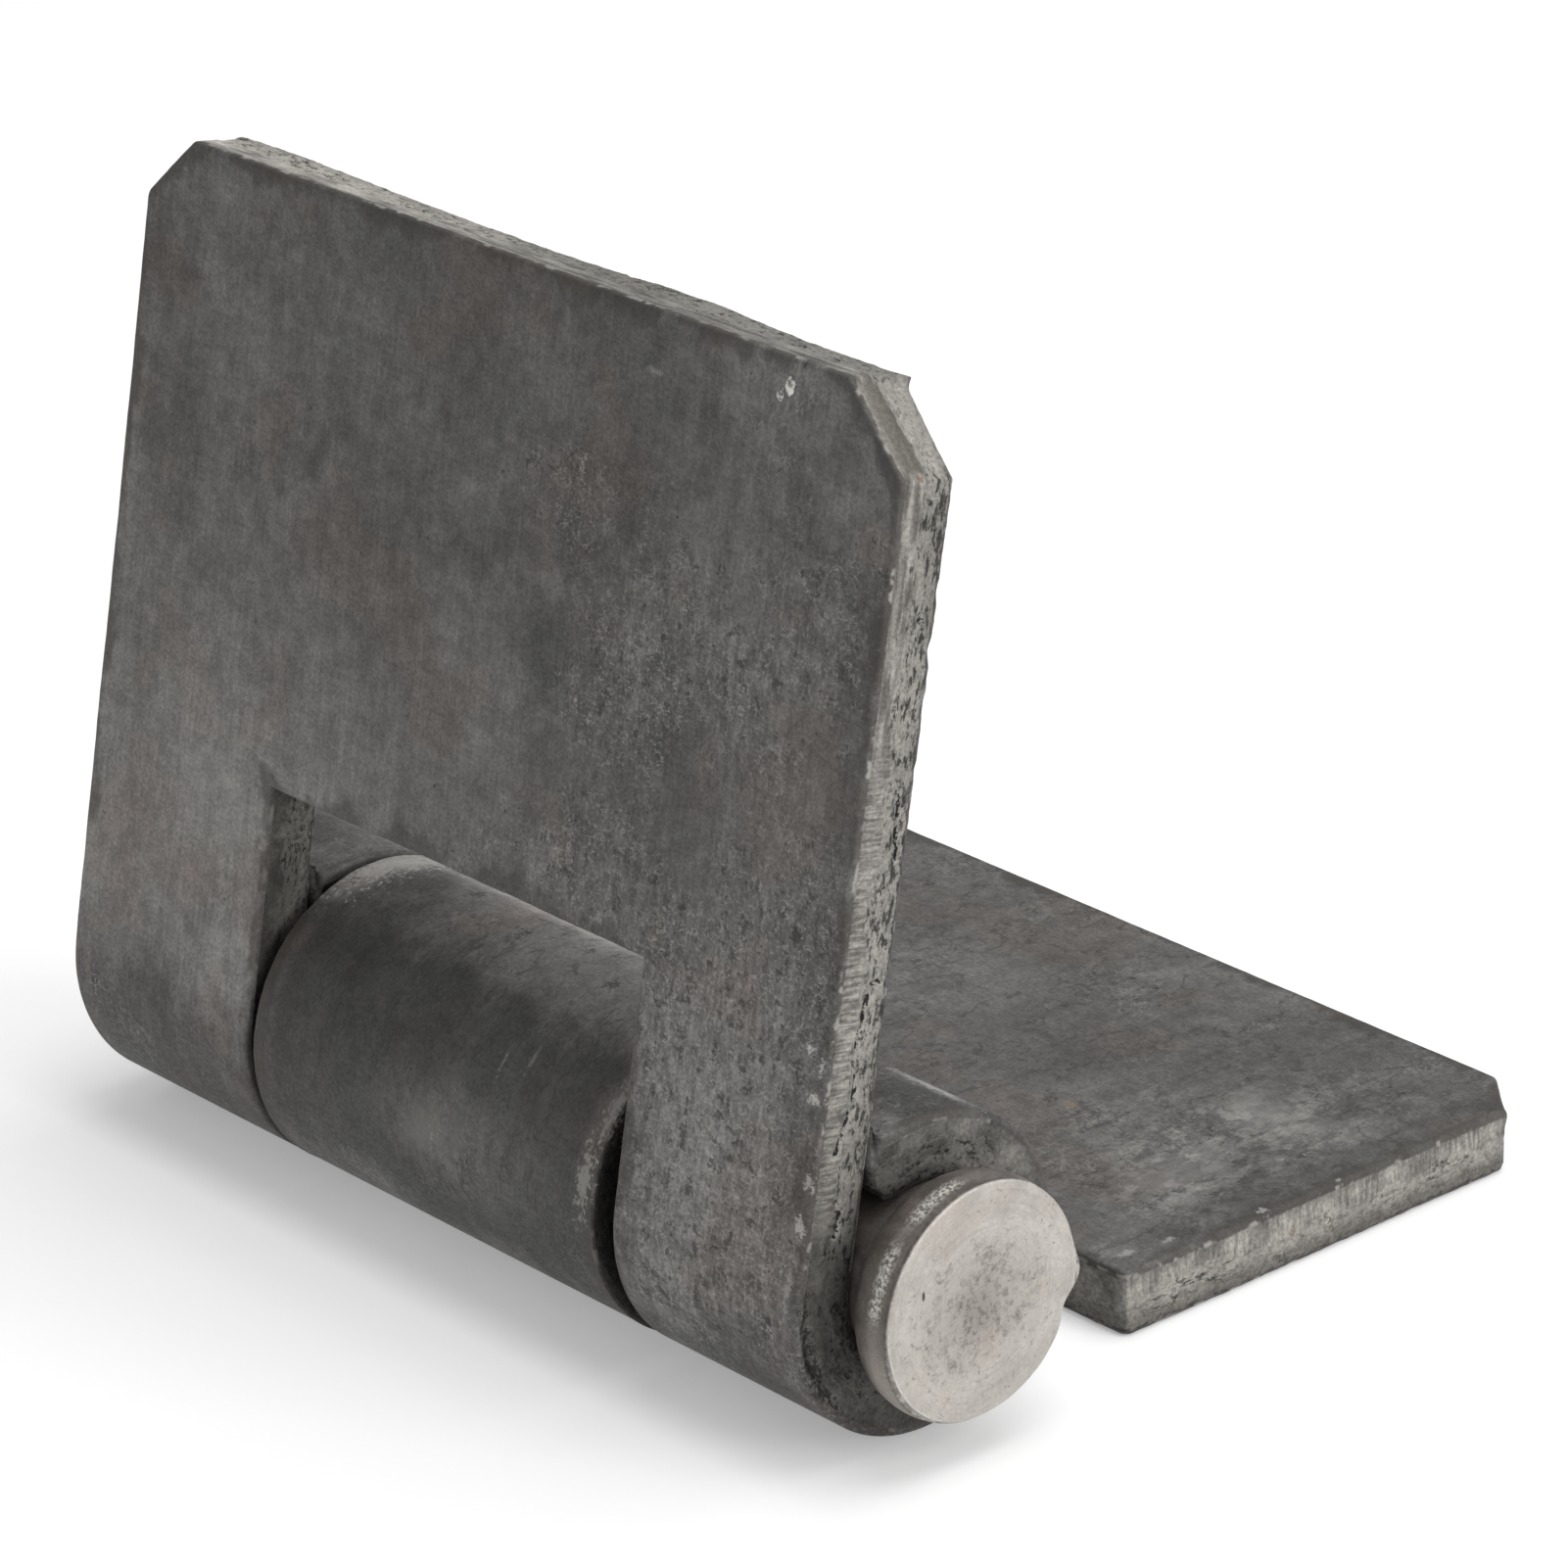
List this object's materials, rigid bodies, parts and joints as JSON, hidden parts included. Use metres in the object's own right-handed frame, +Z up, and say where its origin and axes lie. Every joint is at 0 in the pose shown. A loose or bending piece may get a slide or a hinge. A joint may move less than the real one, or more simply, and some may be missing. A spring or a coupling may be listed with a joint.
{
  "type": "weld-on butt hinge",
  "caption": "Plain steel weld-on butt hinge: square plate leaves with cut corners, rolled into interlocking knuckles that turn on a headed pin.",
  "frame": {"origin": "middle of the fixed leaf's weld face, where the leaf has its full length", "axes": "+X along the pin towards its formed head, +Y out along the fixed leaf away from the pin, +Z up from the fixed leaf's weld face"},
  "size_m": [0.0843, 0.0698, 0.0707],
  "materials": {
    "mill_scale_plate": "hot-rolled plate with dark mill scale and bright sheared edges",
    "pin_steel": "bare steel, head formed bright"
  },
  "bodies": {
    "fixed_leaf": {"fixed_leaf": "mill_scale_plate"},
    "swing_leaf": {"swing_leaf": "mill_scale_plate"},
    "hinge_pin": {"hinge_pin": "pin_steel"}
  },
  "joints": [
    {"name": "leaf_swing", "type": "hinge", "parent": "fixed_leaf", "child": "swing_leaf", "pos_m": [0, -0.03845, 0.01115], "axis": [1, 0, 0], "range_deg": [-92, 212]},
    {"name": "pin_turn", "type": "hinge", "parent": "fixed_leaf", "child": "hinge_pin", "pos_m": [0, -0.03845, 0.01115], "axis": [1, 0, 0], "continuous": true}
  ]
}
